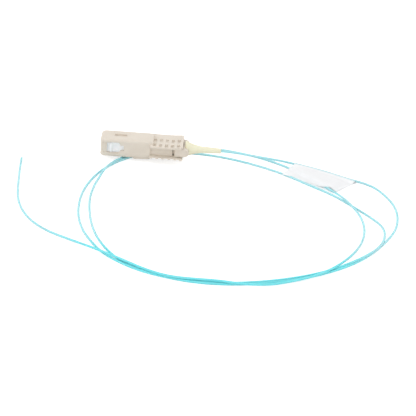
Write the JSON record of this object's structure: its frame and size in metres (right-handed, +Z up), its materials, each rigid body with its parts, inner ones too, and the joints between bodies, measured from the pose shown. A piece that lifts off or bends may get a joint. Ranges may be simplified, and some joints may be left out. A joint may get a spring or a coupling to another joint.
{
  "type": "sc fibre pigtail",
  "caption": "Fibre pigtail: square push-pull connector with sprung ferrule, tapered boot, loose loops of thin buffered fibre with a bare tail, and a folded film label.",
  "frame": {"origin": "on the connector's axis, at the front end of the ferrule's guide cylinder", "axes": "+X along the connector from its mating end to its boot, +Y across it, +Z up from the surface it lies on"},
  "size_m": [0.1469, 0.1127, 0.0089],
  "materials": {
    "beige_housing": "moulded, fine satin",
    "white_frame": "moulded, smooth",
    "pale_boot": "soft matte",
    "ferrule_ceramic": "polished ceramic",
    "flange_metal": "turned, plated",
    "spring_steel": "drawn wire",
    "tube_plastic": "extruded, translucent",
    "aqua_buffer": "extruded, smooth",
    "label_film": "thin film, satin"
  },
  "bodies": {
    "connector": {"plug_frame": "white_frame", "stop_ring": "beige_housing", "strain_boot": "pale_boot", "ferrule_spring": "spring_steel", "fibre_cord": "aqua_buffer", "marker_label": "label_film"},
    "sleeve": {"coupling_sleeve": "beige_housing"},
    "ferrule_unit": {"ferrule": "ferrule_ceramic", "ferrule_flange": "flange_metal", "guide_tube": "tube_plastic", "fibre_end": "aqua_buffer"}
  },
  "joints": [
    {"name": "sleeve_slide", "type": "slide", "parent": "connector", "child": "sleeve", "axis": [1, 0, 0], "range_m": [-0.0012, 0.0006]},
    {"name": "ferrule_float", "type": "slide", "parent": "connector", "child": "ferrule_unit", "axis": [1, 0, 0], "range_m": [0, 0.001], "stiffness_N_per_m": 2000, "deforming": ["ferrule_spring"]}
  ]
}
